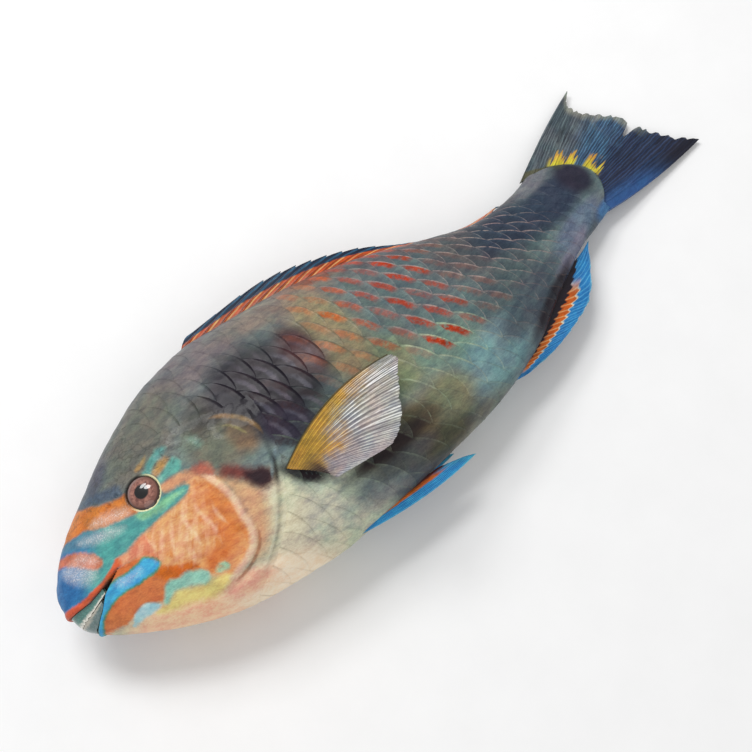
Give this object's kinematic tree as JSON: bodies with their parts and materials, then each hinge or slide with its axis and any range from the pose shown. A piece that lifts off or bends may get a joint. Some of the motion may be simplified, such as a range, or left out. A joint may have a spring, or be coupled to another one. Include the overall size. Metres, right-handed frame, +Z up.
{
  "type": "parrotfish model",
  "caption": "Life-size still model of a male parrotfish lying on its right flank, tail bent towards the back, fins folded but for the raised left pectoral.",
  "frame": {"origin": "on the floor, under the middle of the whole fish's box", "axes": "+X from the snout towards the tail, +Y towards the back of the fish, +Z up, out of its left flank"},
  "size_m": [0.3744, 0.1412, 0.0614],
  "materials": {
    "skin": "wet gloss over painted skin, banded orange and turquoise on the head",
    "scales": "wet gloss over large scales, grey-green with pale edges",
    "fin": "satin membrane with raised rays",
    "eye": "clear gloss",
    "beak": "glazed tooth plate"
  },
  "bodies": {
    "root": {"head": "skin", "lower_jaw": "skin", "beak_upper": "beak", "beak_lower": "beak", "eye_left": "eye", "eye_right": "eye", "gill_cover_left": "skin", "gill_cover_right": "skin", "trunk": "scales", "tail_stalk": "scales", "dorsal_fin": "fin", "anal_fin": "fin", "tail_fin": "fin", "pectoral_fin_left": "fin", "pectoral_fin_right": "fin", "pelvic_fin_left": "fin", "pelvic_fin_right": "fin"}
  },
  "joints": []
}
